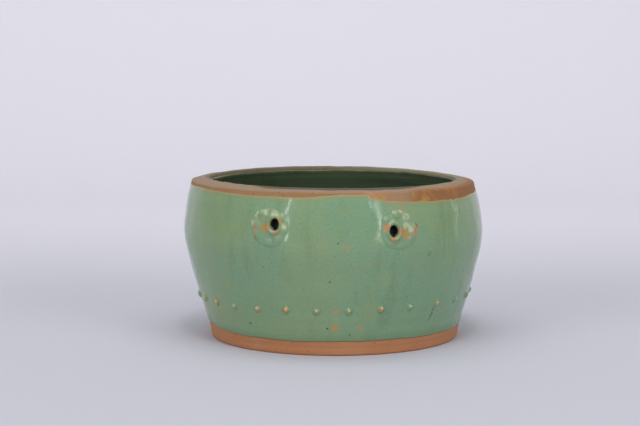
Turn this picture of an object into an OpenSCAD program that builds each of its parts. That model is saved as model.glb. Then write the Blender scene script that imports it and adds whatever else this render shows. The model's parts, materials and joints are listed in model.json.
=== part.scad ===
// Wide drum-shaped stoneware pot for brushes: a thrown clay wall round a flat base,
// a green glaze outside and another inside, two pierced bosses high on the front
// and a row of small clay pellets low round the wall.
// The origin is the centre of the foot ring, in the plane it stands on. +Z is up,
// and the bosses face -Y. Millimetres.

/* [Body] */
// Diameter of the clay at the belly, its widest ring
belly_d = 180.2; // [175:0.2:186]
// Height of the belly above the foot
belly_z = 65; // [58:1:70]
// Diameter of the rim's outer edge
rim_d = 171; // [166:0.2:173]
// Height of the rim's outer edge
rim_z = 94.4; // [90:0.2:98]
// Diameter of the foot
foot_d = 149.4; // [142:0.2:156]
// Thickness of the wall at the belly
wall_t = 10; // [8.5:0.5:11]
// Diameter of the mouth at the lip's inner edge
mouth_d = 148.4; // [144:0.2:152]
// Height that the crowned lip rises above its outer edge
lip_crown = 2.4; // [1.6:0.1:3]

/* [Base] */
// Diameter of the base inside the foot ring
base_d = 124; // [116:1:128]
// Height of the base's underside above the foot
recess_h = 2; // [1:0.5:4]
// Height of the base's top
floor_z = 9.4; // [8:0.2:11]

/* [Glaze] */
// Thickness of the outer glaze
glaze_t = 0.7; // [0.5:0.1:0.9]
// Thickness of the inner glaze
liner_t = 0.6; // [0.4:0.1:0.9]
// Height of the bare clay band left at the foot
bare_foot_h = 8.3; // [6:0.1:11]
// Height above the foot where the outer glaze stops below the rim
glaze_top_z = 91.5; // [86:0.1:92]
// Height of bare clay left below the lip's inner edge, above the inner glaze
bare_lip_h = 0.6; // [0.4:0.2:6]

/* [Bosses] */
// Diameter of each boss
boss_d = 23; // [18:0.5:25]
// Height of each boss above the clay
boss_h = 1.5; // [1:0.1:2]
// Diameter of the raised collar round each hole
collar_d = 10; // [8.5:0.5:12]
// Height of the collar above the clay
collar_h = 2.1; // [1.8:0.1:2.4]
// Lumps round each boss
lumps = 8; // [5:1:9]
// Angle from the front to each boss's centre
boss_turn = 24; // [18:1:40]
// Height of the left and right boss centres
boss_z = [75, 73.6]; // [70:0.2:78]

/* [Holes] */
// Diameter of each pierced hole
hole_d = 6; // [4:0.2:7]
// Angle from the front to each hole
hole_turn = 21.9; // [16:0.1:40]
// Height of the left and right holes
hole_z = [76.8, 73.2]; // [70:0.2:78]

/* [Pellets] */
// Pellets in the row
pellets = 28; // [12:1:40]
// Diameter of each clay pellet
pellet_d = 4; // [3:0.1:5]
// Height of the row above the foot
pellet_z = 26.6; // [20:0.2:34]
// Angle from the front to the first pellet
first_pellet = 5.6; // [0:0.2:12]
// Degrees that hand spacing has carried the row round by its sides
pellet_drift = 3.8; // [0:0.2:6]
// How much higher the row is on the right than at the front
pellet_rise = 0.7; // [0:0.1:1.5]

/* [Hidden] */
$fn = 128;
steps = 8;                       // straight pieces in one curve of an outline
far = 200;                       // longer than the pot in any direction
eps = 0.01;                      // lets a cutter run past the face it cuts
belly_r = belly_d / 2;
rim_r = rim_d / 2;
foot_r = foot_d / 2;
mouth_r = mouth_d / 2;
base_r = base_d / 2;
top_z = rim_z + lip_crown;
foot_round = 1;                  // radius of the foot's lower edge
rim_round = 0.8;                 // size of the round on the rim's outer edge
shoulder_z = bare_foot_h + 2.2;  // where the foot's straight side turns into the belly
shoulder_r = foot_r + 0.19 * shoulder_z;
low_pull_z = belly_z - 11.3;     // heights that set how full the curves are
high_pull_z = belly_z + 8.5;
inner_r = belly_r - wall_t;      // inside radius at the belly
lip_inner_z = top_z - 1.4;       // where the lip turns down into the pot
liner_top_z = lip_inner_z - bare_lip_h;
cove_z = floor_z + 11;           // where the inside wall turns into the floor
cove_r = base_r + 6;
lump_d = 4;                      // diameter of the lumps round a boss
lump_ring_r = (boss_d - lump_d) / 2 - 1.1;  // keeps the lumps inside the edge of the boss

// Angles are measured round +Z from the front, positive to the right
turns = [-1, 1];
LEFT = 0;
RIGHT = 1;
pellet_names = [for (i = [1:pellets]) str("pellet_", i < 10 ? "0" : "", i)];

// Point at t, from 0 to 1, on the curve that leaves a towards b and reaches c from b
function bend(a, b, c, t) = (1 - t) * (1 - t) * a + 2 * t * (1 - t) * b + t * t * c;
// Points of that curve, without its last
function curve(a, b, c) = [for (i = [0:steps - 1]) bend(a, b, c, i / steps)];

// Outline of the outside as [radius, height], with the side grown by skin
function outside(skin = 0) =
    let (shoulder = [shoulder_r + skin, shoulder_z],
         belly = [belly_r + skin, belly_z],
         rim = [rim_r + skin, rim_z],
         lip = [rim_r - rim_round, rim_z + 0.9 * rim_round],
         crown = [mouth_r + 2, top_z])
    concat([[0, 0]],
           curve([foot_r - foot_round + skin, 0], [foot_r + skin, 0],
                 [foot_r + 0.19 * foot_round + skin, foot_round]),
           curve(shoulder, [belly_r + skin, low_pull_z], belly),
           curve(belly, [belly_r + skin, high_pull_z], rim),
           curve(rim, [rim_r + skin, rim_z + 0.6 * rim_round], lip),
           curve(lip, [(rim_r + mouth_r) / 2, top_z], crown),
           [crown, [0, top_z]]);

// Outline of the hollow, shrunk by skin
function inside(skin = 0) =
    let (lip = [mouth_r - skin, lip_inner_z],
         belly = [inner_r - skin, belly_z],
         cove = [cove_r - skin, cove_z],
         ground = [base_r - skin, floor_z + skin])
    concat([[0, top_z + 1], [mouth_r + 3 - skin, top_z + 1], [mouth_r + 2 - skin, top_z]],
           curve([mouth_r + 2 - skin, top_z], [mouth_r - skin, top_z], lip),
           curve(lip, [inner_r - skin, high_pull_z], belly),
           curve(belly, [inner_r - skin, low_pull_z], cove),
           curve(cove, [cove_r - 3 - skin, floor_z + skin], ground),
           [ground, [0, floor_z + skin]]);

// The pot's outside as a full solid, its side grown by skin
module drum(skin = 0) { rotate_extrude() polygon(outside(skin)); }

// The pot's hollow as a full solid, shrunk by skin
module hollow(skin = 0) { rotate_extrude() polygon(inside(skin)); }

// The clay's outside radius at height z, between the foot's shoulder and the rim
function side_r(z) = lookup(z, [for (p = concat(
    curve([shoulder_r, shoulder_z], [belly_r, low_pull_z], [belly_r, belly_z]),
    curve([belly_r, belly_z], [belly_r, high_pull_z], [rim_r, rim_z]))) [p[1], p[0]]]);

// Turns its children from the front to angle, and points +Z outwards at height z
module outward(angle, z) { rotate([0, 0, angle]) translate([0, 0, z]) rotate([90, 0, 0]) children(); }

// A straight hole of diameter d, from inside the pot out past its side
module hole(side) {
    outward(turns[side] * hole_turn, hole_z[side]) cylinder(d = hole_d, h = far);
}

module holes() { for (side = [LEFT, RIGHT]) hole(side); }

// The round patch of wall that a boss covers, as a cutter of diameter d
module boss_patch(side, d) {
    outward(turns[side] * boss_turn, boss_z[side]) cylinder(d = d, h = far);
}

// A lump of clay on the edge of a boss, at an angle round the boss's centre
module boss_lump(side, angle) {
    across = lump_ring_r * cos(angle);
    z = boss_z[side] + lump_ring_r * sin(angle);
    outward(turns[side] * boss_turn + asin(across / side_r(z)), z)
        translate([0, 0, side_r(z)]) sphere(d = lump_d, $fn = 48);
}

// One boss: a low disc with a ring of lumps, and a collar round its hole
module boss(side) {
    difference() {
        union() {
            intersection() {
                drum(boss_h);
                boss_patch(side, boss_d);
            }
            intersection() {
                drum(collar_h);
                outward(turns[side] * hole_turn, hole_z[side]) cylinder(d = collar_d, h = far);
            }
            for (i = [0:lumps - 1]) boss_lump(side, (i + 0.5) * 360 / lumps);
        }
        drum();
        hole(side);
    }
}

// The ball of clay that pellet i is pressed from
module pellet_ball(i) {
    even = first_pellet + i * 360 / pellets;
    z = pellet_z + pellet_rise * sin(even);
    outward(even + pellet_drift * (1 - cos(even)), z)
        translate([0, 0, side_r(z) + 0.2])
            sphere(d = pellet_d, $fn = 48);
}

// Thrown wall with its foot ring and rim, bored through at the two holes
module clay_wall() {
    color([0.66, 0.45, 0.31])
    difference() {
        drum();
        hollow();
        translate([0, 0, -eps]) cylinder(r = base_r, h = floor_z + 2 * eps);
        holes();
    }
}

// Flat base, set up inside the foot ring
module clay_base() {
    color([0.62, 0.42, 0.29])
    translate([0, 0, recess_h]) cylinder(r = base_r, h = floor_z - recess_h);
}

// Green glaze over the side, open round the bosses, pellets and holes
module outer_glaze() {
    color([0.44, 0.56, 0.44])
    difference() {
        intersection() {
            drum(glaze_t);
            translate([0, 0, bare_foot_h]) cylinder(r = far, h = glaze_top_z - bare_foot_h);
        }
        drum();
        for (side = [LEFT, RIGHT]) boss_patch(side, boss_d);
        for (i = [0:pellets - 1]) pellet_ball(i);
    }
}

// Darker glaze over the inside wall and the floor
module inner_glaze() {
    color([0.17, 0.25, 0.18])
    difference() {
        intersection() {
            hollow();
            cylinder(r = far, h = liner_top_z);
        }
        hollow(liner_t);
        holes();
    }
}

module boss_left() { color([0.47, 0.56, 0.42]) boss(LEFT); }

module boss_right() { color([0.47, 0.56, 0.42]) boss(RIGHT); }

// Pellet i, cut to sit on the curve of the wall
module pellet(i) {
    color([0.60, 0.52, 0.34])
    difference() {
        pellet_ball(i);
        drum();
    }
}

clay_wall();
clay_base();
outer_glaze();
inner_glaze();
boss_left();
boss_right();
for (i = [0:pellets - 1])
    pellet(i);
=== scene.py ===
"""Looks of the green-glazed brush pot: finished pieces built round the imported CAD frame.

Shapes are worked out in millimetres and azimuths round the pot's axis, 0 at the front
and positive to the right, and turned into metres when a mesh is made.
"""
import json
import math

import bmesh
import bpy
import numpy as np
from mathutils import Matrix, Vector


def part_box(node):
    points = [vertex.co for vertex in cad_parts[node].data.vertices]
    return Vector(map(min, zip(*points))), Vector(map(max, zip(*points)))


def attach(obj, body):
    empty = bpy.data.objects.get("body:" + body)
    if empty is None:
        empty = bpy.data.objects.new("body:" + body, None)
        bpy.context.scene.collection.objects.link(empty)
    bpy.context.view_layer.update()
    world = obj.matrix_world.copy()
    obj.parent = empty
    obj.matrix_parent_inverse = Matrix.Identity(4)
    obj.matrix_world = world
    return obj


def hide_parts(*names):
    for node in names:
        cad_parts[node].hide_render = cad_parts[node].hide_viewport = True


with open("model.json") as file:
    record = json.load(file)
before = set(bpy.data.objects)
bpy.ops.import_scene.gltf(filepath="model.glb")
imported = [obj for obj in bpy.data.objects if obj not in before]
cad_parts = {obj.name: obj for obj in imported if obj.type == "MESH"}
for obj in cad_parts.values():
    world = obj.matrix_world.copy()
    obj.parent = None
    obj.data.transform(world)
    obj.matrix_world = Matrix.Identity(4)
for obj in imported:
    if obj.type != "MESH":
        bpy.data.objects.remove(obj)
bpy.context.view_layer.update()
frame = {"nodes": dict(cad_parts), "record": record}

MM = 0.001
nodes = frame["nodes"]
record = frame["record"]


# ---------------------------------------------------------------- the CAD pot's own sizes

def mm_box(node):
    """Lowest and highest corner of a CAD node, in millimetres."""
    low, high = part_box(node)
    return np.array(low) / MM, np.array(high) / MM


def ray(node, start, direction):
    """Where a ray through a CAD node first hits it, in millimetres, or None."""
    hit, point, _, _ = nodes[node].ray_cast(Vector(start) * MM, Vector(direction))
    return np.array(point) / MM if hit else None


def outside_radius(z):
    return ray("clay_wall", (0, 200, z), (0, -1, 0))[1]


def inside_radius(z):
    return ray("clay_wall", (0, 0, z), (0, 1, 0))[1]


def lip_height(r):
    return ray("clay_wall", (0, r, 200), (0, 0, -1))[2]


WALL_HIGH = mm_box("clay_wall")[1]
GLAZE_HIGH = mm_box("outer_glaze")[1]
LINER_LOW, LINER_HIGH = mm_box("inner_glaze")
BASE_LOW, BASE_HIGH = mm_box("clay_base")
TOP_Z = WALL_HIGH[2]
GLAZE_T = GLAZE_HIGH[0] - WALL_HIGH[0]
LINER_T = 0.6                        # thickness of the inner glaze
BASE_R = BASE_HIGH[0]
LIP_CROWN = 2.4                      # how far the lip rises above its outer edge
LIP_TURN = 1.4                       # how far under the lip's top its inner edge is
RIM_Z = TOP_Z - LIP_CROWN            # height of the rim's outer edge
MOUTH_R = inside_radius(TOP_Z - LIP_TURN - 0.1)
HEIGHTS = np.concatenate([[0.03, 0.15, 0.4, 0.7], np.arange(1.0, RIM_Z, 1.0)])
clay_radii = np.array([outside_radius(z) for z in HEIGHTS])
INNER_HEIGHTS = np.arange(BASE_HIGH[2] + 0.05, TOP_Z - LIP_TURN, 1.0)
hollow_radii = np.array([inside_radius(z) for z in INNER_HEIGHTS])


def smooth(values, keep, passes=12):
    """Evens out the straight steps of a CAD outline, past its first few points."""
    out = values.copy()
    for _ in range(passes):
        out[keep:-1] = 0.25 * out[keep - 1:-2] + 0.5 * out[keep:-1] + 0.25 * out[keep + 1:]
    return out


clay_radii = smooth(clay_radii, 14)
hollow_radii = smooth(hollow_radii, 3, 6)


def clay_r(z):
    """Radius of the clay's outside at height z."""
    return np.interp(z, HEIGHTS, clay_radii)


def hollow_r(z):
    """Radius of the hollow in the clay at height z."""
    return np.interp(z, INNER_HEIGHTS, hollow_radii)


# ---------------------------------------------------------------- what the hand left on it

rng = np.random.RandomState(11)
FOOT_SHIFT = 0.75    # how far the foot sits right of the axis
LEAN = -1.1          # how far the rim stands left of the foot
TILT = 0.5           # how much higher the rim is on the left than in the middle
FRONT_RISE = 0.25    # how much higher the rim is at the front than in the middle
SAG = 0.5            # how much lower the rim is behind its sides
DEEPEST_DENT = 0.35  # how far the side is pushed in at most
SINK = 0.70          # how far the middle of the rim is under the CAD rim


def waves(count, shortest, longest):
    """Wave directions, phases and strengths that together make one even ripple."""
    length = np.exp(rng.uniform(math.log(shortest), math.log(longest), count))
    way = rng.normal(size=(count, 3))
    way /= np.linalg.norm(way, axis=1)[:, None]
    return way * (2 * math.pi / length)[:, None], rng.uniform(0, 2 * math.pi, count), length / longest


BROAD = waves(14, 60, 160)
RIPPLE = waves(40, 7, 26)
FINE = waves(60, 2.2, 6)


def ripple(kind, az, r, z):
    """A smooth bumpy field over the pot, about -1 to 1."""
    k, phase, weight = kind
    p = np.stack(np.broadcast_arrays(r * np.sin(az), -r * np.cos(az), z), -1)
    total = np.zeros(p.shape[:-1])
    for i in range(len(phase)):
        total += weight[i] * np.sin(p @ k[i] + phase[i])
    return total / math.sqrt(0.5 * np.sum(weight ** 2)) / 2


def throwing(az, z):
    """Faint spiral lines that the thrower's fingers leave outside."""
    swell = 0.5 + 0.5 * np.sin(z / 17 + 1.3)
    return 0.05 * swell * np.sin(2 * math.pi * z / 6.8 + az + 0.4 * np.sin(2 * az))


def lift(az, r, z):
    """How far the uneven rim carries a spot up or down."""
    tip = (FRONT_RISE * np.cos(az) - TILT * np.sin(az)) * r / clay_r(RIM_Z)
    tip = tip - SAG * bump(np.abs(turned(az)), 115, 22)
    return (z / RIM_Z) ** 2 * (tip - SINK)


def place(az, r, z):
    """Point in millimetres for a spot of the true round form, as the hand made it."""
    az, r, z = np.broadcast_arrays(az, r, z)
    h = z / RIM_Z
    dent = np.clip(0.10 + 0.12 * ripple(BROAD, az, 90, z), 0, DEEPEST_DENT)
    rr = r - dent * np.clip(h * 4, 0, 1)
    x = rr * np.sin(az) + FOOT_SHIFT + LEAN * h
    return np.stack([x, -rr * np.cos(az), z + lift(az, rr, z)], -1)


def step(x, low, high):
    """0 below low, 1 above high, smooth between."""
    t = np.clip((x - low) / (high - low), 0, 1)
    return t * t * (3 - 2 * t)


def bump(x, centre, width):
    """A smooth hump of height 1."""
    return np.exp(-((x - centre) / width) ** 2)


def turned(az):
    """Azimuth in degrees, -180 to 180."""
    return (np.degrees(az) + 180) % 360 - 180


def glaze_top(az):
    """Height where the outer glaze ends under the rim: low on the right of the front."""
    a = turned(az)
    z = 91.8 + 1.1 * bump(a, -66, 22) + 1.9 * bump(a, 7.5, 12)
    low = 2.1 * step(a, 13.1, 13.9) + 0.9 * step(a, 15, 27) + 1.1 * step(a, 26, 44) - 0.8 * step(a, 62, 72)
    z = z - low * (1 - step(a, 78, 100)) - 1.2 * step(np.abs(a), 120, 150)
    ragged = ripple(FINE, az, 86.0, 89.0) * (0.12 + 0.3 * step(a, 13, 16))
    z = z + ragged + 0.12 * np.sin(17 * az + 2.2)
    return z - lift(az, clay_r(RIM_Z), RIM_Z)


def glaze_foot(az):
    """Height where the outer glaze ends above the foot."""
    a = turned(az)
    z = 8.25 + 1.9 * step(-a, 58, 74) * (1 - step(-a, 100, 130))
    return z + 0.2 * np.sin(5 * az + 0.4) + 0.13 * np.sin(13 * az + 2) + 0.06 * np.sin(29 * az)


# ---------------------------------------------------------------- meshes

def turn_outward(mesh):
    """Turns a closed mesh's faces to point out of it."""
    work = bmesh.new()
    work.from_mesh(mesh)
    if work.calc_volume(signed=True) < 0:
        bmesh.ops.reverse_faces(work, faces=work.faces)
    work.to_mesh(mesh)
    work.free()


def new_mesh(name, points, faces, fields=None):
    """An object from points in millimetres, with one float attribute for each field."""
    mesh = bpy.data.meshes.new(name)
    mesh.from_pydata((np.asarray(points) * MM).tolist(), [], faces)
    turn_outward(mesh)
    mesh.shade_smooth()
    for key, values in (fields or {}).items():
        mesh.attributes.new(key, "FLOAT", "POINT").data.foreach_set("value", np.asarray(values, np.float32))
    piece = bpy.data.objects.new(name, mesh)
    bpy.context.scene.collection.objects.link(piece)
    return piece


def grid_faces(rows, cols, close_rows):
    """Quads of a grid whose columns run round, and whose rows may close up too."""
    last = rows if close_rows else rows - 1
    i, j = np.meshgrid(np.arange(last), np.arange(cols), indexing="ij")
    a, b = i * cols + j, i * cols + (j + 1) % cols
    i2 = (i + 1) % rows
    c, d = i2 * cols + (j + 1) % cols, i2 * cols + j
    return np.stack([a, b, c, d], -1).reshape(-1, 4).tolist()


def azimuths(cols):
    """Even steps round the axis, as one row."""
    return np.linspace(0, 2 * math.pi, cols, endpoint=False)[None, :]


def lathe(name, radius, height, fields=None, poles=False):
    """A closed solid turned from an outline. With poles, the outline starts and ends on the axis.

    radius and height have one row for each outline point and one column for each azimuth.
    """
    rows, cols = radius.shape
    points = place(azimuths(cols), radius, height).reshape(-1, 3)
    faces = grid_faces(rows, cols, not poles)
    values = {k: v.reshape(-1) for k, v in (fields or {}).items()}
    if poles:
        ends = [place(0, 0, height[0, 0]), place(0, 0, height[-1, 0])]
        first, last = len(points), len(points) + 1
        points = np.vstack([points, ends])
        ring = (rows - 1) * cols
        for j in range(cols):
            k = (j + 1) % cols
            faces.append([first, k, j])
            faces.append([last, ring + j, ring + k])
        values = {k: np.concatenate([v, [v[0], v[-1]]]) for k, v in values.items()}
    return new_mesh(name, points, faces, values)


def spread(first, last, spacing, ends):
    """Distances from first to last, with the close steps of ends at both of them."""
    ends = np.array(ends)
    middle = np.arange(ends[-1] + spacing, (last - first) - ends[-1], spacing)
    return first + np.concatenate([ends, middle, (last - first) - ends[::-1]])


# ---------------------------------------------------------------- holes

HOLE_R = record["mounts"][1]["dims"]["r_mm"]
holes = []
for mount in record["mounts"]:
    if mount["kind"] == "bore":
        way = np.array(mount["axis"])
        holes.append((math.atan2(way[0], -way[1]), mount["pos_m"][2] / MM))
holes.sort()
HOLE_WIDE, HOLE_TALL = 0.9 * HOLE_R, 1.1 * HOLE_R
BORE_GAP = 0.12                      # how much wider the wall's bore is than a boss's throat


def hole_cutters():
    """One mesh that holds a long oval bar through each pierced hole."""
    sides = 48
    points, faces = [], []
    for az, z in holes:
        centre = [place(az, r, z) for r in (60, 110)]
        right = np.array([math.cos(az), math.sin(az), 0])
        start = len(points)
        for c in centre:
            for t in np.linspace(0, 2 * math.pi, sides, endpoint=False):
                across, up = (HOLE_WIDE + BORE_GAP) * math.cos(t), (HOLE_TALL + BORE_GAP) * math.sin(t)
                points.append(c + right * across + np.array([0, 0, up]))
        faces.append([start + i for i in reversed(range(sides))])
        faces.append([start + sides + i for i in range(sides)])
        for i in range(sides):
            k = (i + 1) % sides
            faces.append([start + i, start + k, start + sides + k, start + sides + i])
    return new_mesh("hole_cutters", points, faces)


def pierce(piece, cutters):
    """Cuts the holes through a piece for good."""
    cut = piece.modifiers.new("holes", "BOOLEAN")
    cut.operation = "DIFFERENCE"
    cut.solver = "EXACT"
    cut.object = cutters
    graph = bpy.context.evaluated_depsgraph_get()
    mesh = bpy.data.meshes.new_from_object(piece.evaluated_get(graph))
    piece.modifiers.clear()
    old = piece.data
    piece.data = mesh
    bpy.data.meshes.remove(old)
    mesh.name = piece.name


# ---------------------------------------------------------------- the clay

def make_wall():
    """Thrown wall: foot ring, side, crowned bare rim and the inside."""
    cols = 540
    az = azimuths(cols)
    side_z = np.concatenate([[0.03, 0.25, 0.6], np.arange(1.0, 12, 0.7), np.arange(12, 86, 2.4),
                             np.arange(86, RIM_Z - 0.2, 0.6)])
    side = [(clay_r(z), z) for z in side_z]
    edge_r, inner_r = clay_r(RIM_Z), hollow_r(TOP_Z - 2)
    in_from_edge = np.array([0.05, 0.2, 0.5, 0.9, 1.5, 2.4, 3.4, 4.6, 6, 7.4, 8.6])
    out_from_mouth = np.array([1.2, 0.7, 0.3, 0.1])
    lip = [(r, lip_height(r)) for r in np.concatenate([edge_r - in_from_edge, inner_r + out_from_mouth])]
    cove_z = BASE_HIGH[2] + 12
    inner_z = np.concatenate([np.arange(TOP_Z - 2, 84, -0.8), np.arange(84, cove_z + 1, -3.0),
                              np.arange(cove_z, BASE_HIGH[2] + 0.3, -0.6)])
    inner = [(hollow_r(z) + 0.3 * (z <= cove_z), z) for z in inner_z]
    under = [(BASE_R, BASE_HIGH[2]), (BASE_R, 0.7), (BASE_R + 0.25, 0.2), (BASE_R + 0.8, 0.0)]
    under += [(r, 0.0) for r in np.linspace(BASE_R + 2, clay_r(0) - 0.6, 8)]
    outline = np.array(side + lip + inner + under)
    r = np.repeat(outline[:, :1], cols, 1)
    z = np.repeat(outline[:, 1:], cols, 1)
    row = np.arange(len(outline))[:, None]
    on_side = row < len(side)
    on_lip = (row >= len(side) - 6) & (row < len(side + lip) + 4)
    worn = ripple(FINE, az, r, z)
    r = r + on_side * (throwing(az, z) + 0.05 * worn * step(z, 0.3, 2) - 0.14 * bump(z, 4.4, 0.7))
    z = z + on_lip * 0.16 * ripple(RIPPLE, az, r, z) - on_lip * 0.1 * np.clip(worn, 0, 2)
    nicks = bump(ripple(RIPPLE, az, 50, 3), 1.5, 0.35)
    z = z - on_lip * 0.35 * nicks * bump(r, edge_r, 2)
    return lathe("wall", r, z)


UNDER_HOLLOW = 1.1   # height of the hollow that the turning tool leaves at the middle of the underside


def make_base():
    """Flat base, its underside marked in a spiral by the turning tool."""
    cols = 360
    az = azimuths(cols)
    rings = np.linspace(0.6, BASE_R - 1.2, 70)
    under = [(r, BASE_LOW[2]) for r in rings]
    edge = [(BASE_R - 0.5, BASE_LOW[2] + 0.1), (BASE_R - 0.05, BASE_LOW[2] + 0.5),
            (BASE_R - 0.05, BASE_HIGH[2] - 0.4), (BASE_R - 1, BASE_HIGH[2] - 0.1)]
    top = [(r, BASE_HIGH[2] - 0.1) for r in np.linspace(BASE_R - 4, 0.6, 12)]
    outline = np.array(under + edge + top)
    r = np.repeat(outline[:, :1], cols, 1)
    z = np.repeat(outline[:, 1:], cols, 1)
    is_under = np.arange(len(outline))[:, None] < len(under)
    groove = 0.16 * np.sin(2 * math.pi * r / 4.6 + az) * step(r, 1, 8)
    z = z + is_under * (0.2 + groove + 0.08 * ripple(RIPPLE, az, r, 0))
    z = z + is_under * UNDER_HOLLOW * bump(r, 0, 2.6)
    return lathe("base", r, z, poles=True)


# ---------------------------------------------------------------- the glazes

def skin_thickness(below_top, above_foot):
    """How thick the outer glaze is: a rolled lower edge, thinning under the rim."""
    rolled = np.sqrt(np.clip(1 - (1 - np.clip(above_foot / 1.1, 0, 1)) ** 2, 0, 1))
    tapered = np.sqrt(np.clip(1 - (1 - np.clip(below_top / 0.9, 0, 1)) ** 2, 0, 1))
    thin = 0.42 + 0.58 * step(below_top, 0.5, 7)
    return GLAZE_T * rolled * tapered * thin * (0.86 + 0.14 * bump(above_foot, 1.4, 1.2))


def glaze_surface(az, z):
    """Radius of the outer glaze's surface."""
    t = skin_thickness(glaze_top(az) - z, z - glaze_foot(az))
    r = clay_r(z)
    lumps = 0.07 * ripple(RIPPLE, az, r, z) + 0.012 * ripple(FINE, az, r, z)
    return r + t * (1 + 0.10 * ripple(RIPPLE, az, r, z)) + throwing(az, z) + lumps * step(t, 0.1, 0.5) - 0.1


def make_outer_glaze():
    cols = 660
    az = azimuths(cols)
    low, high = glaze_foot(az), glaze_top(az)
    s = spread(0, 1, 0.0132, [0, 0.0008, 0.0025, 0.005, 0.009, 0.0145, 0.022])[:, None]
    z_out = low + s * (high - low)
    r_out = glaze_surface(az, z_out)
    s_in = np.linspace(1, 0, 24)[1:-1, None]
    z_in = low + s_in * (high - low)
    r_in = clay_r(z_in) - 0.25
    z = np.vstack([z_out, z_in])
    r = np.vstack([r_out, r_in])
    return lathe("side_glaze", r, z, {"below_top": high - z, "above_foot": z - low})


def liner_top(az):
    """Height where the inner glaze ends inside the lip."""
    swell = 0.2 * np.sin(3 * az + 1) + 0.15 * np.sin(11 * az) + 0.08 * np.sin(23 * az + 2)
    return LINER_HIGH[2] - 0.1 + swell


def make_inner_glaze():
    """Glaze over the ridged inside wall and the floor."""
    cols = 480
    az = azimuths(cols)
    floor_z = LINER_LOW[2]
    floor_r = np.linspace(0.6, BASE_R - 3, 40)
    low, high = BASE_HIGH[2] + 0.4, liner_top(az)
    s = spread(0, 1, 0.0165, [0, 0.002, 0.005, 0.01, 0.018])[:, None]
    wall_z = low + s * (high - low)
    edge = np.sqrt(np.clip(1 - (1 - np.clip((high - wall_z) / 1.0, 0, 1)) ** 2, 0, 1))
    ridge = 0.24 * np.sin(2 * math.pi * wall_z / 6.2 + az) + 0.12 * np.sin(2 * math.pi * wall_z / 2.9 + az)
    ridge = ridge * step(wall_z, 12, 26) * (0.6 + 0.4 * np.sin(wall_z / 9 + 2 * az))
    depth = LINER_T * (1 + 0.3 * ripple(RIPPLE, az, 75, wall_z)) - 0.8 * ridge
    wall_r = hollow_r(wall_z) - edge * depth
    ones = np.ones((1, cols))
    swirl = 0.22 * np.sin(2 * math.pi * floor_r[:, None] / 7.5 + az) * step(floor_r[:, None], 2, 12)
    top_floor_z = (floor_z + 0.45 + swirl) * ones
    back_z = low + np.linspace(1, 0, 22)[1:, None] * (high - low)
    back_r = hollow_r(back_z) + 0.25
    back_floor_r = np.linspace(BASE_R - 3, 0.6, 10)[:, None] * ones
    back_floor_z = (floor_z - 0.3) * ones * np.ones((10, 1))
    z = np.vstack([top_floor_z, wall_z, back_z, back_floor_z])
    r = np.vstack([floor_r[:, None] * ones, wall_r, back_r, back_floor_r])
    return lathe("inside_glaze", r, z, poles=True)


# ---------------------------------------------------------------- the bosses

BOSS_TURN = math.radians(24.0)       # azimuth of a boss's centre, either side of the front
PETALS = 8
PETAL_H, PETAL_R, PETAL_RING_R = 1.2, 1.9, 8.9
COLLAR_H, COLLAR_RING_R = 1.05, 4.4
DISC_H = 0.42
SKIRT = 2.2                          # how far past its edge a boss reaches under the glaze


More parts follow.
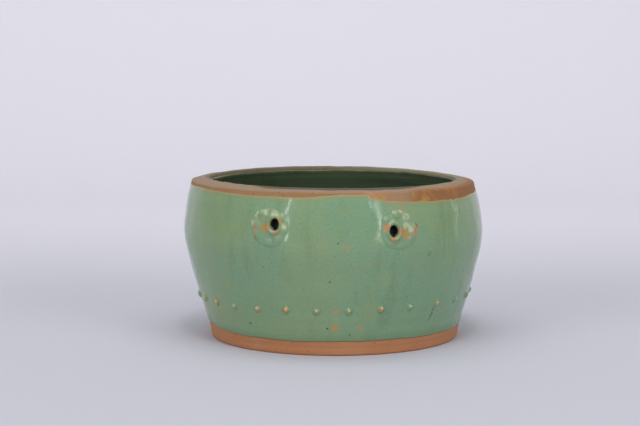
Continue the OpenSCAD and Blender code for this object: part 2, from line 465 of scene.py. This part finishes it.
class Boss:
    """Relief of one pierced boss, in millimetres right and up from its centre."""

    def __init__(self, side, hole, seed):
        low, high = mm_box("boss_" + side)
        self.side = side
        self.z = (low[2] + high[2]) / 2
        self.az = math.copysign(BOSS_TURN, low[0] + high[0])
        self.radius = (high[2] - low[2]) / 2
        self.hole = ((hole[0] - self.az) * clay_r(hole[1]), hole[1] - self.z)
        self.seed = seed
        self.mirror = -1 if side == "left" else 1

    def relief(self, u, v):
        """Height above the glaze's surface, below it past the edge."""
        rho, phi = np.hypot(u, v), np.arctan2(v, u * self.mirror)
        edge = self.radius + 0.25 * np.sin(3 * phi + self.seed) + 0.15 * np.sin(5 * phi)
        disc = DISC_H * step(edge - rho, -0.5, 2.6)
        rim = 0.16 * bump(rho, edge - 1.4, 1.0) * (0.5 + 0.5 * np.sin(3 * phi + self.seed))
        turn = phi * PETALS / (2 * math.pi) + 0.3
        cell, which = turn % 1 - 0.5, np.floor(turn) % PETALS
        tall = 0.74 + 0.36 * np.sin(which * 2.4 + self.seed)
        across = cell * 2 * math.pi / PETALS * rho
        tall = tall * (0.72 + 0.34 * np.tanh(v / 4))
        from_ring = np.abs(rho - PETAL_RING_R - 0.6 * np.sin(which * 1.9 + self.seed))
        lumps = PETAL_H * tall * np.exp(-(np.abs(across) / PETAL_R) ** 2.6 - (from_ring / PETAL_R) ** 2.6)
        h = np.hypot((u - self.hole[0]) / HOLE_WIDE, (v - self.hole[1]) / HOLE_TALL) * HOLE_R
        collar = COLLAR_H * bump(h, COLLAR_RING_R, 1.1) + 0.25 * step(6.4 - h, 0, 2)
        worn = 0.07 * ripple(FINE, self.az, 90 + u, v + self.z)
        body = np.maximum(lumps, collar) + 0.25 * np.minimum(lumps, collar)
        return disc + rim + body + worn * disc * 2 - 0.09

    def build(self):
        """A closed shell that rises out of the glaze, round its hole."""
        around, out = 200, 66
        t = azimuths(around)
        edge_u, edge_v = (self.radius + SKIRT) * np.cos(t), (self.radius + SKIRT) * np.sin(t)
        hole_u = self.hole[0] + HOLE_WIDE * np.cos(t)
        hole_v = self.hole[1] + HOLE_TALL * np.sin(t)
        s = np.linspace(0, 1, out)[:, None]
        u = hole_u + s * (edge_u - hole_u)
        v = hole_v + s * (edge_v - hole_v)
        lift = self.relief(u, v)
        lift = lift - 0.55 * (1 - np.sqrt(np.clip(1 - (1 - np.clip(s * 9, 0, 1)) ** 2, 0, 1)))
        throat = np.array([-2.6, -1.9, -1.2, -0.5])[:, None] * np.ones((1, around))
        under = np.array([-1.2, -1.3])[:, None]
        rows_u = np.vstack([throat * 0 + hole_u, u, edge_u, edge_u * 0.6 + hole_u * 0.4])
        rows_v = np.vstack([throat * 0 + hole_v, v, edge_v, edge_v * 0.6 + hole_v * 0.4])
        rise = np.vstack([throat, lift, under * np.ones((1, around))])
        az = self.az + rows_u / clay_r(self.z)
        z = self.z + rows_v
        r = glaze_surface(az, z) + rise
        points = place(az, r, z).reshape(-1, 3)
        faces = grid_faces(len(rows_u), around, True)
        return new_mesh("boss_" + self.side + "_relief", points, faces, {"rise": rise.reshape(-1)})


# ---------------------------------------------------------------- the pellets

PELLET_R, PELLET_H = 2.0, 1.45       # radius of a worn pellet, and its height above the glaze


def make_pellet(i):
    """One worn ball of clay, with the glaze drawn up round it."""
    low, high = mm_box(f"pellet_{i:02d}")
    middle = (low + high) / 2
    jog = np.random.RandomState(40 + i)
    az0 = math.atan2(middle[0], -middle[1]) + math.radians(jog.uniform(-0.5, 0.5))
    turn = math.degrees(az0)
    z0 = middle[2] + jog.uniform(-0.3, 0.3) + 0.55 * bump(turn, 5, 45) + 0.6 * bump(turn, 46, 8)
    wide = PELLET_R + jog.uniform(-0.15, 0.2)
    tall = PELLET_H + jog.uniform(-0.2, 0.25)
    skew = jog.uniform(-0.25, 0.25)
    around, rings = 40, 26
    t = azimuths(around)
    skirt = 4.2
    rho = np.linspace(0.12, skirt, rings)[:, None]
    spread_r = rho * (1 + 0.05 * np.sin(2 * t + 6 * skew) + 0.03 * np.sin(3 * t))
    ball = tall * np.sqrt(np.clip(1 - (rho / wide) ** 2, 0, 1))
    fillet = 0.5 * np.exp(-np.clip(rho - wide * 0.86, 0, 9) / 0.55)
    lift = np.maximum(ball, fillet) - 0.09
    lift = lift + 0.1 * skew * np.cos(t) * (rho < wide)
    u, v = spread_r * np.cos(t), spread_r * np.sin(t)
    u = np.vstack([u, u[-1:] * 0.98, u[-1:] * 0.3])
    v = np.vstack([v, v[-1:] * 0.98, v[-1:] * 0.3])
    sunk = 0.7
    rise = np.vstack([lift, np.full((1, around), 0.1 - sunk), np.full((1, around), -sunk)])
    az = az0 + u / clay_r(z0)
    z = z0 + v
    # A cream spot near each pellet's top, a little right of its centre: partly pale glaze and partly a
    # painted highlight.
    pale_top_and_highlight = np.exp(-((u - 0.25) / 0.75) ** 2 - ((v - 0.75) / 0.85) ** 2)
    points = place(az, glaze_surface(az, z) + rise, z).reshape(-1, 3)
    faces = grid_faces(len(u), around, False)
    surface = glaze_surface(np.array(az0), np.array(z0))
    tip = place(az0, surface + lift[0, 0], z0)
    back = place(az0, surface - sunk, z0)
    n = len(points)
    points = np.vstack([points, tip, back])
    last = (len(u) - 1) * around
    for j in range(around):
        k = (j + 1) % around
        faces.append([n, k, j])
        faces.append([n + 1, last + j, last + k])
    rise = np.concatenate([rise.reshape(-1), [lift[0, 0], -sunk]])
    pale_top_and_highlight = np.concatenate([pale_top_and_highlight.reshape(-1), [pale_top_and_highlight[0, 0], 0]])
    return new_mesh(f"pellet_{i:02d}_ball", points, faces, {"rise": rise, "pale_top_and_highlight": pale_top_and_highlight})


# ---------------------------------------------------------------- material building blocks

def srgb(r, g, b):
    """A linear colour from its 0 to 255 screen values."""
    lin = [c / 255 / 12.92 if c <= 10 else ((c / 255 + 0.055) / 1.055) ** 2.4 for c in (r, g, b)]
    return (*lin, 1)


class Shader:
    """A node tree with short calls for the nodes that the materials share."""

    def __init__(self, name):
        self.material = bpy.data.materials.new(name)
        self.material.use_nodes = True
        self.tree = self.material.node_tree
        self.surface = self.tree.nodes["Principled BSDF"]
        self.place = self.new("ShaderNodeTexCoord").outputs["Object"]

    def new(self, kind, **settings):
        node = self.tree.nodes.new(kind)
        for key, value in settings.items():
            setattr(node, key, value)
        return node

    def put(self, socket, value):
        if isinstance(value, bpy.types.NodeSocket):
            self.tree.links.new(value, socket)
        else:
            socket.default_value = value

    def math(self, operation, a, b):
        node = self.new("ShaderNodeMath", operation=operation)
        self.put(node.inputs[0], a)
        self.put(node.inputs[1], b)
        return node.outputs[0]

    def range(self, value, low, high, out_low=0.0, out_high=1.0):
        node = self.new("ShaderNodeMapRange", interpolation_type="SMOOTHSTEP")
        for socket, v in zip(node.inputs, (value, low, high, out_low, out_high)):
            self.put(socket, v)
        return node.outputs[0]

    def mix(self, amount, a, b):
        node = self.new("ShaderNodeMix", data_type="RGBA")
        self.put(node.inputs["Factor"], amount)
        self.put(node.inputs[6], a)
        self.put(node.inputs[7], b)
        return node.outputs[2]

    def stretched(self, x, y, z):
        node = self.new("ShaderNodeMapping")
        self.put(node.inputs["Vector"], self.place)
        node.inputs["Scale"].default_value = (x, y, z)
        return node.outputs[0]

    def noise(self, scale, detail=2.0, rough=0.5, where=None, twist=0.0):
        node = self.new("ShaderNodeTexNoise")
        self.put(node.inputs["Vector"], where or self.place)
        node.inputs["Scale"].default_value = scale
        node.inputs["Detail"].default_value = detail
        node.inputs["Roughness"].default_value = rough
        node.inputs["Distortion"].default_value = twist
        return node.outputs["Fac"]

    def specks(self, scale, size):
        """1 inside scattered round specks, 0 outside."""
        node = self.new("ShaderNodeTexVoronoi")
        self.put(node.inputs["Vector"], self.place)
        node.inputs["Scale"].default_value = scale
        dot = self.range(node.outputs["Distance"], size, size * 0.5)
        split = self.new("ShaderNodeSeparateColor")
        self.put(split.inputs[0], node.outputs["Color"])
        return self.math("MULTIPLY", dot, self.range(split.outputs[0], 0.72, 0.8))

    def near(self, az_deg, z_mm, r_mm, soft=0.5, deep=0.0):
        """1 within r_mm of a spot of the outside or deep under it, 0 past it."""
        az = math.radians(az_deg)
        spot = place(az, float(clay_r(z_mm)) + GLAZE_T - deep, z_mm) * MM
        gap = self.new("ShaderNodeVectorMath", operation="DISTANCE")
        self.put(gap.inputs[0], self.place)
        gap.inputs[1].default_value = spot
        return self.range(gap.outputs["Value"], r_mm * MM, r_mm * MM * (1 - soft))

    def marks(self, colour, marks):
        """Lays ragged marks over a colour."""
        ragged = self.range(self.noise(420, 2, 0.6), 0.3, 0.55)
        for az, z, size, tint, strength in marks:
            amount = self.math("MULTIPLY", self.near(az, z, size, 0.75), ragged)
            colour = self.mix(self.math("MULTIPLY", amount, strength), colour, tint)
        return colour

    def shade_bores(self, colour):
        """Paints shade down the length of each pierced hole: a near-black that stands for the dark inside of
        the bore.
        """
        for az, z in holes:
            for deep in (2, 4.5, 7, 9.5, 12):
                inside = self.near(math.degrees(az), z, 1.35 * HOLE_R, 0.15, deep)
                colour = self.mix(self.math("MULTIPLY", inside, 0.93), colour, BORE_SHADE)
        return colour

    def field(self, name):
        return self.new("ShaderNodeAttribute", attribute_name=name).outputs["Fac"]

    def across(self, axis):
        """Distance along X, Y or Z, as axis 0, 1 or 2, in millimetres."""
        split = self.new("ShaderNodeSeparateXYZ")
        self.put(split.inputs[0], self.place)
        return self.math("MULTIPLY", split.outputs[axis], 1 / MM)

    def reach(self):
        """Distance from the pot's axis, in millimetres."""
        flat = self.new("ShaderNodeVectorMath", operation="MULTIPLY")
        self.put(flat.inputs[0], self.place)
        flat.inputs[1].default_value = (1 / MM, 1 / MM, 0)
        length = self.new("ShaderNodeVectorMath", operation="LENGTH")
        self.put(length.inputs[0], flat.outputs[0])
        return length.outputs["Value"]

    def bump(self, height, strength, distance_mm, under=None):
        node = self.new("ShaderNodeBump")
        node.inputs["Strength"].default_value = strength
        node.inputs["Distance"].default_value = distance_mm * MM
        self.put(node.inputs["Height"], height)
        if under is not None:
            self.put(node.inputs["Normal"], under)
        return node.outputs[0]

    def finish(self, colour, rough, normal, **sockets):
        self.put(self.surface.inputs["Base Color"], colour)
        self.put(self.surface.inputs["Roughness"], rough)
        self.put(self.surface.inputs["Normal"], normal)
        for key, value in sockets.items():
            self.surface.inputs[key].default_value = value
        return self.material


# ---------------------------------------------------------------- materials

GREEN = srgb(115, 141, 103)
BLUE_GREEN = srgb(106, 141, 110)
YELLOW_GREEN = srgb(128, 139, 90)
DEEP_GREEN = srgb(68, 102, 72)
# Cream for the pellets' tops: partly pale glaze and partly a painted highlight.
PALE = srgb(182, 184, 150)
CREAM_GLAZE_AND_HIGHLIGHT = srgb(214, 210, 172)
OCHRE = srgb(176, 124, 60)
TAN = srgb(176, 122, 82)
CLAY = srgb(172, 112, 70)
CLAY_DARK = srgb(130, 89, 53)
CLAY_PALE = srgb(140, 120, 101)
RUST = srgb(136, 72, 34)
OLIVE = srgb(112, 96, 62)
# Near-black for the inside glaze: painted shade.
LINER = srgb(36, 40, 29)
THIN_GLAZE = srgb(148, 134, 96)
LIP_OLIVE = srgb(124, 122, 97)
LIP_BROWN = srgb(102, 95, 74)
LIP_DARK = srgb(74, 70, 48)
CLAY_WASHED = srgb(172, 156, 130)
CLAY_OLIVE = srgb(108, 114, 82)
PIT = srgb(58, 62, 44)
IRON = srgb(84, 50, 34)
# Near-black for the inside of the holes: painted shade.
BORE_SHADE = srgb(30, 27, 20)

GLAZE_IOR = 1.53

# Small marks on the outer glaze: azimuth, height and size in mm, then their colour and strength
MARKS = [
    (-0.3, 17.4, 3.4, OCHRE, 0.8), (0.4, 26.4, 3.0, TAN, 0.5), (-3.2, 16.7, 1.0, PIT, 0.9),
    (-38, 16.8, 1.2, PIT, 0.8), (-1.8, 44.5, 1.1, PIT, 0.7), (1.4, 67, 1.0, PIT, 0.8),
    (37, 58.8, 2.2, PIT, 0.35), (6, 12.5, 0.9, PIT, 0.7), (10.5, 16.8, 3.4, TAN, 0.35),
    (4, 64.5, 3.4, OCHRE, 0.35), (-57, 26.4, 4.4, OCHRE, 0.7), (61, 45, 1.2, PIT, 0.5),
    (25.5, 86, 2.2, TAN, 0.8), (22, 86.5, 1.6, TAN, 0.5), (30, 85.5, 1.6, TAN, 0.5),
    (-12, 40, 0.8, PIT, 0.5), (-27, 52, 0.8, PIT, 0.4), (48, 33, 0.9, PIT, 0.5),
    (44.6, 24.5, 1.5, PIT, 0.6), (44.3, 22.9, 1.5, PIT, 0.7), (44.0, 21.3, 1.5, PIT, 0.7),
    (43.6, 19.7, 1.3, PIT, 0.6), (43.3, 18.2, 1.2, PIT, 0.5),
    (148, 38, 2.8, OCHRE, 0.7), (-150, 60, 1.3, PIT, 0.7), (120, 66, 2.4, TAN, 0.6),
    (-98, 44, 1.0, PIT, 0.7), (100, 20, 2.2, OCHRE, 0.5), (-172, 24, 1.2, PIT, 0.6),
]

# The same for the two bosses: tan, ochre and rust where the glaze has worn or run off the relief, and pale
# patches that are partly pale glaze and partly painted highlights
BOSS_WEAR_AND_HIGHLIGHTS = [
    (-25.4, 74.8, 4.6, OCHRE, 1.0), (-31, 73.4, 4.8, TAN, 0.8), (-31, 76.8, 2.6, PALE, 1.0),
    (-25.2, 83.6, 3.0, PALE, 0.8), (-29.6, 82.4, 3.0, PALE, 0.8), (-22, 82.2, 3.4, PALE, 0.8),
    (-18.4, 75.8, 2.8, PALE, 0.8), (-16.9, 80.2, 2.6, PALE, 0.8), (-21.2, 72.2, 3.2, TAN, 0.8),
    (-19.4, 66.2, 3.4, BLUE_GREEN, 0.6), (-24, 63.8, 3.4, BLUE_GREEN, 0.6), (-30.2, 68.4, 3.2, OLIVE, 0.5),
    (19.2, 75.2, 3.8, TAN, 0.95), (24.4, 73.2, 3.4, TAN, 0.95), (26.6, 71.2, 4.4, OCHRE, 0.8),
    (31.4, 73.2, 5.0, TAN, 1.0), (31.2, 76, 2.2, RUST, 1.0), (27.4, 81.2, 3.4, PALE, 0.6),
    (27, 76, 3.0, PALE, 0.9), (28.8, 73.8, 2.6, PALE, 0.9), (21.6, 69, 3.2, OCHRE, 0.8),
    (25.5, 85, 2.8, PALE, 0.8),
]


def glaze_colour(s):
    """Mottled celadon green."""
    broad = s.noise(17, 3, 0.55)
    middle = s.noise(70, 4, 0.6, twist=0.4)
    runs = s.noise(1, 3, 0.55, where=s.stretched(70, 70, 11))
    grain = s.noise(900, 2, 0.6)
    colour = s.mix(s.range(broad, 0.38, 0.62), GREEN, BLUE_GREEN)
    colour = s.mix(s.range(middle, 0.5, 0.74, 0, 0.5), colour, YELLOW_GREEN)
    colour = s.mix(s.range(runs, 0.52, 0.7, 0, 0.22), colour, DEEP_GREEN)
    return s.mix(s.range(grain, 0.3, 0.7, 0, 0.10), colour, PALE)


def glaze_normal(s):
    """Orange peel, slow ripples and scattered pinholes."""
    peel = s.noise(420, 2, 0.5)
    slow = s.noise(120, 1, 0.5)
    pins = s.specks(330, 0.16)
    soft = s.bump(slow, 0.25, 0.35)
    fine = s.bump(peel, 0.12, 0.12, soft)
    return s.bump(pins, 0.5, -0.12, fine), pins


def side_glaze_material():
    s = Shader("side_glaze")
    colour = glaze_colour(s)
    below, above = s.field("below_top"), s.field("above_foot")
    break_up = s.noise(150, 3, 0.6)
    thin = s.range(s.math("ADD", below, s.math("MULTIPLY", break_up, 3.0)), 5.5, 2.2)
    colour = s.mix(s.math("MULTIPLY", thin, 0.45), colour, YELLOW_GREEN)
    line = s.range(s.math("ADD", below, s.math("MULTIPLY", break_up, 2.4)), 3.1, 1.3)
    colour = s.mix(s.math("MULTIPLY", line, 0.85), colour, THIN_GLAZE)
    pool = s.range(above, 5.5, 1.2)
    colour = s.mix(s.math("MULTIPLY", pool, 0.35), colour, DEEP_GREEN)
    lip = s.range(above, 0.75, 0.25)
    colour = s.mix(s.math("MULTIPLY", lip, 0.85), colour, RUST)
    colour = s.marks(colour, MARKS)
    normal, pins = glaze_normal(s)
    colour = s.mix(s.math("MULTIPLY", pins, 0.6), colour, DEEP_GREEN)
    rough = s.range(s.noise(60, 2, 0.5), 0.35, 0.65, 0.10, 0.17)
    return s.finish(colour, rough, normal, IOR=GLAZE_IOR)


def relief_glaze_material(name, thin_low, thin_high, uneven, marks=()):
    """Glaze that breaks to tan clay where the relief stands proud."""
    s = Shader(name)
    colour = glaze_colour(s)
    rise = s.field("rise")
    patch = s.noise(95, 2, 0.5)
    ragged = s.noise(520, 3, 0.6)
    reach = s.math("ADD", rise, s.math("MULTIPLY", s.math("SUBTRACT", patch, 0.5), uneven))
    reach = s.math("ADD", reach, s.math("MULTIPLY", s.math("SUBTRACT", ragged, 0.5), 0.8))
    thin = s.range(reach, thin_low, thin_high)
    colour = s.mix(s.math("MULTIPLY", thin, 0.5), colour, YELLOW_GREEN)
    bare = s.range(reach, thin_high, thin_high + 0.35)
    colour = s.mix(s.math("MULTIPLY", bare, 0.85), colour, s.mix(s.noise(300, 2), OCHRE, TAN))
    deep = s.range(rise, 0.22, -0.02)
    colour = s.mix(s.math("MULTIPLY", deep, 0.25), colour, DEEP_GREEN)
    colour = s.marks(colour, marks)
    if marks:
        # Near-black down each boss's throat: painted shade.
        colour = s.mix(s.math("MULTIPLY", s.range(rise, -0.35, -0.8), 0.93), colour, BORE_SHADE)
    else:
        # Pellets: cream near the top, partly pale glaze and partly a painted highlight.
        colour = s.mix(s.range(s.field("pale_top_and_highlight"), 0.35, 0.85, 0, 0.6), colour, CREAM_GLAZE_AND_HIGHLIGHT)
    normal, _ = glaze_normal(s)
    rough = s.range(bare, 0, 1, 0.14, 0.36)
    return s.finish(colour, rough, normal, IOR=GLAZE_IOR)


def inside_glaze_material():
    s = Shader("inside_glaze")
    # The inside glaze's green is mixed mostly into near-black: painted shade of the pot's interior.
    colour = s.mix(0.82, glaze_colour(s), LINER)
    z = s.across(2)
    ragged = s.noise(110, 3, 0.6)
    low = s.range(z, 76, 30)
    colour = s.mix(s.math("MULTIPLY", low, 0.45), colour, DEEP_GREEN)
    rings = s.noise(1, 3, 0.6, where=s.stretched(5, 5, 230))
    colour = s.mix(s.range(rings, 0.5, 0.68, 0, 0.4), colour, s.mix(ragged, DEEP_GREEN, OLIVE))
    # A paler olive band from about 78 to 82 mm up the inside wall: painted highlight.
    ridge = s.math("MULTIPLY", s.range(z, 78.4, 79.8), s.range(z, 82.2, 81.0))
    colour = s.mix(s.math("MULTIPLY", ridge, 0.5), colour, OLIVE)
    thin = s.range(s.math("ADD", z, s.math("MULTIPLY", ragged, 4)), LINER_HIGH[2] - 1.0, LINER_HIGH[2] + 2.8)
    colour = s.mix(s.math("MULTIPLY", thin, 0.9), colour, LIP_OLIVE)
    normal, _ = glaze_normal(s)
    return s.finish(colour, s.range(ragged, 0.3, 0.7, 0.12, 0.2), normal, IOR=1.5)


def worn_clay(s, colour):
    """Tints the bare clay: the rim toasted on its right and painted light on its top face, glaze lapped over
    its inner edge, painted shade as a dark line along the foot's bottom edge and down the holes.
    """
    x, y, z = s.across(0), s.across(1), s.across(2)
    ragged = s.noise(130, 3, 0.65)
    right = s.range(s.math("ADD", x, s.math("MULTIPLY", ragged, 14)), 24, 34)
    front = s.range(y, 20, -10)
    high = s.range(z, 60, 80)
    toasted = s.math("MULTIPLY", s.math("MULTIPLY", right, front), high)
    colour = s.mix(s.math("MULTIPLY", high, 0.45), colour, CLAY_DARK)
    colour = s.mix(s.math("MULTIPLY", toasted, 0.85), colour, CLAY_DARK)
    left = s.math("MULTIPLY", s.range(x, 14, 8), high)
    colour = s.mix(s.math("MULTIPLY", left, 0.28), colour, CLAY_OLIVE)
    washed = s.math("MULTIPLY", s.range(x, 15, 19), s.range(x, 50, 38))
    colour = s.mix(s.math("MULTIPLY", washed, s.math("MULTIPLY", high, 0.3)), colour, CLAY_WASHED)
    seep = s.range(s.noise(75, 4, 0.7), 0.44, 0.6)
    seep = s.math("MULTIPLY", seep, s.math("MULTIPLY", s.range(x, 78, 60), s.range(x, 14, 26)))
    colour = s.mix(s.math("MULTIPLY", seep, s.math("MULTIPLY", high, 0.65)), colour, OCHRE)
    # The rim's top face is paled: painted light from above.
    top = s.range(s.math("ADD", z, s.math("MULTIPLY", ragged, 0.5)), RIM_Z + 0.1, RIM_Z + 1.0)
    colour = s.mix(s.math("MULTIPLY", top, 0.85), colour, CLAY_PALE)
    inner = s.math("ADD", s.reach(), s.math("MULTIPLY", ragged, 3.0))
    lapped = s.range(y, -56, -74, MOUTH_R + 5.2, MOUTH_R + 9.3)
    inner = s.math("MULTIPLY", s.range(s.math("SUBTRACT", inner, lapped), 0, -1.4), high)
    lap = s.mix(s.range(x, -10, 45), LIP_BROWN, LIP_OLIVE)
    lap = s.mix(s.range(y, -40, -60), lap, LIP_DARK)
    colour = s.mix(s.math("MULTIPLY", inner, 0.92), colour, lap)
    # A rust-dark line along the foot's bottom edge: painted shade where the foot meets the floor.
    edge = s.range(z, 0.9, 0.3)
    colour = s.mix(s.math("MULTIPLY", edge, 0.6), colour, RUST)
    return s.shade_bores(colour)


def clay_material(name, worn):
    """Bare fired clay: turning lines, grit and toasted patches."""
    s = Shader(name)
    patch = s.noise(28, 3, 0.6)
    lines = s.noise(1, 3, 0.6, where=s.stretched(14, 14, 1100))
    grit = s.noise(1300, 3, 0.7)
    colour = s.mix(s.range(patch, 0.35, 0.7), CLAY, TAN)
    colour = s.mix(s.range(lines, 0.5, 0.75, 0, 0.3), colour, CLAY_DARK)
    colour = s.mix(s.range(grit, 0.35, 0.7, 0, 0.35), colour, CLAY_PALE)
    if worn:
        colour = worn_clay(s, colour)
    iron = s.specks(420, 0.22)
    colour = s.mix(s.math("MULTIPLY", iron, 0.7), colour, IRON)
    normal = s.bump(lines, 0.35, 0.25)
    normal = s.bump(grit, 0.5, 0.22, normal)
    rough = s.range(grit, 0.3, 0.7, 0.68, 0.86)
    return s.finish(colour, rough, normal, IOR=1.45)


# ---------------------------------------------------------------- put it together

def keep(piece, slot, material, *replaced):
    """Gives a piece its material and its body, and hides the CAD nodes it stands for; the slot argument is
    not used.
    """
    piece.data.materials.clear()
    piece.data.materials.append(material)
    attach(piece, "root")
    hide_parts(*replaced)


cutters = hole_cutters()
wall = make_wall()
side_glaze = make_outer_glaze()
inside_glaze = make_inner_glaze()
for piece in (wall, side_glaze, inside_glaze):
    pierce(piece, cutters)
bpy.data.objects.remove(cutters)

keep(wall, "bare_clay", clay_material("bare_clay", worn=True), "clay_wall")
keep(make_base(), "base_clay", clay_material("base_clay", worn=False), "clay_base")
keep(side_glaze, "green_glaze", side_glaze_material(), "outer_glaze")
keep(inside_glaze, "liner_glaze", inside_glaze_material(), "inner_glaze")

boss_glaze = relief_glaze_material("boss_glaze", 0.7, 1.7, 1.6, BOSS_WEAR_AND_HIGHLIGHTS)
for side, hole, seed in (("left", holes[0], 0.4), ("right", holes[1], 2.1)):
    keep(Boss(side, hole, seed).build(), "boss_glaze", boss_glaze, "boss_" + side)

pellet_glaze = relief_glaze_material("pellet_glaze", 0.45, 0.95, 2.4)
pellet_names = sorted(n for n in nodes if n.startswith("pellet_"))
for i in range(1, len(pellet_names) + 1):
    keep(make_pellet(i), "pellet_glaze", pellet_glaze, f"pellet_{i:02d}")


# ---------------------------------------------------------------- stage, light and camera

def make_sweep():
    """Pale paper that lies under the pot and curves up behind it."""
    behind, bend_r, tall, wide, front = 0.75, 0.9, 2.6, 3.2, -2.4
    track = [(front, 0.0), (behind, 0.0)]
    for t in np.linspace(0, math.pi / 2, 24)[1:]:
        track.append((behind + bend_r * math.sin(t), bend_r * (1 - math.cos(t))))
    track.append((behind + bend_r, tall))
    points = [(x / MM, y / MM, z / MM) for y, z in track for x in (-wide, wide)]
    faces = [[2 * i, 2 * i + 1, 2 * i + 3, 2 * i + 2] for i in range(len(track) - 1)]
    sweep = new_mesh("paper_sweep", points, faces)
    s = Shader("paper")
    # The paper darkens from 0.7 m behind the pot's axis towards 0.05 m: painted shade of the light's
    # falloff.
    near, far = srgb(189, 189, 198), srgb(215, 214, 222)
    painted_shade_from, painted_shade_to = 0.05 / MM, 0.7 / MM
    colour = s.mix(s.range(s.across(1), painted_shade_from, painted_shade_to), near, far)
    sweep.data.materials.append(s.finish(colour, 0.9, s.bump(s.noise(700, 2), 0.05, 0.1)))


def area_light(name, where, aim, width, height, power):
    """A rectangle of light, in metres and watts, that faces aim."""
    light = bpy.data.lights.new(name, "AREA")
    light.shape = "RECTANGLE"
    light.size, light.size_y = width, height
    light.energy = power
    lamp = bpy.data.objects.new(name, light)
    bpy.context.scene.collection.objects.link(lamp)
    lamp.location = where
    lamp.rotation_euler = (Vector(aim) - Vector(where)).to_track_quat("-Z", "Y").to_euler()
    return lamp


def make_lights():
    """Soft light from above, the front and the room, strips that the glaze mirrors, and a small spark."""
    middle = (0, 0, 0.05)
    strip_z, strip_wide, strip_tall = 0.30, 0.035, 0.58
    strips = [("left", -33.5, 1.2, 0.6), ("right", 34.3, 1.2, 0.75), ("far", 105.5, 1.3, 0.2)]
    for name, turn, far, power in strips:
        turn = math.radians(turn)
        where = (far * math.sin(turn), -far * math.cos(turn), strip_z)
        strip = area_light("strip_" + name, where, (0, 0, strip_z), strip_wide, strip_tall, power)
        strip.visible_camera = False
    area_light("overhead", (0, -0.35, 1.9), (0, 0.1, 0), 2.2, 1.8, 14)
    area_light("backdrop_wash", (-0.3, 0.1, 1.8), (-0.1, 1.65, 0.6), 2.4, 0.8, 6)
    for name, x, power in (("front_left", -2.8, 57), ("front_right", 2.8, 54)):
        front = area_light(name, (x, -2.8, 1.3), middle, 2.0, 1.6, power)
        front.visible_glossy = False
    area_light("spark", (0.05, -0.95, 1.85), middle, 0.26, 0.20, 5.5)
    world = bpy.data.worlds.new("studio")
    world.use_nodes = True
    world.node_tree.nodes["Background"].inputs[0].default_value = (0.87, 0.87, 0.915, 1)
    world.node_tree.nodes["Background"].inputs[1].default_value = 0.42
    bpy.context.scene.world = world
    bpy.context.scene.view_settings.view_transform = "Standard"


def make_camera():
    """A long lens a metre in front of the pot, a little above its rim and looking slightly down."""
    look_down = 0.1125
    data = bpy.data.cameras.new("camera")
    data.sensor_width = 36
    data.lens = 97.24
    data.clip_end = 20
    camera = bpy.data.objects.new("camera", data)
    camera.location = (-0.00804, -1.04494, 0.19172)
    camera.rotation_euler = (math.pi / 2 - look_down, 0, 0)
    bpy.context.scene.collection.objects.link(camera)
    bpy.context.scene.camera = camera


make_sweep()
make_lights()
make_camera()
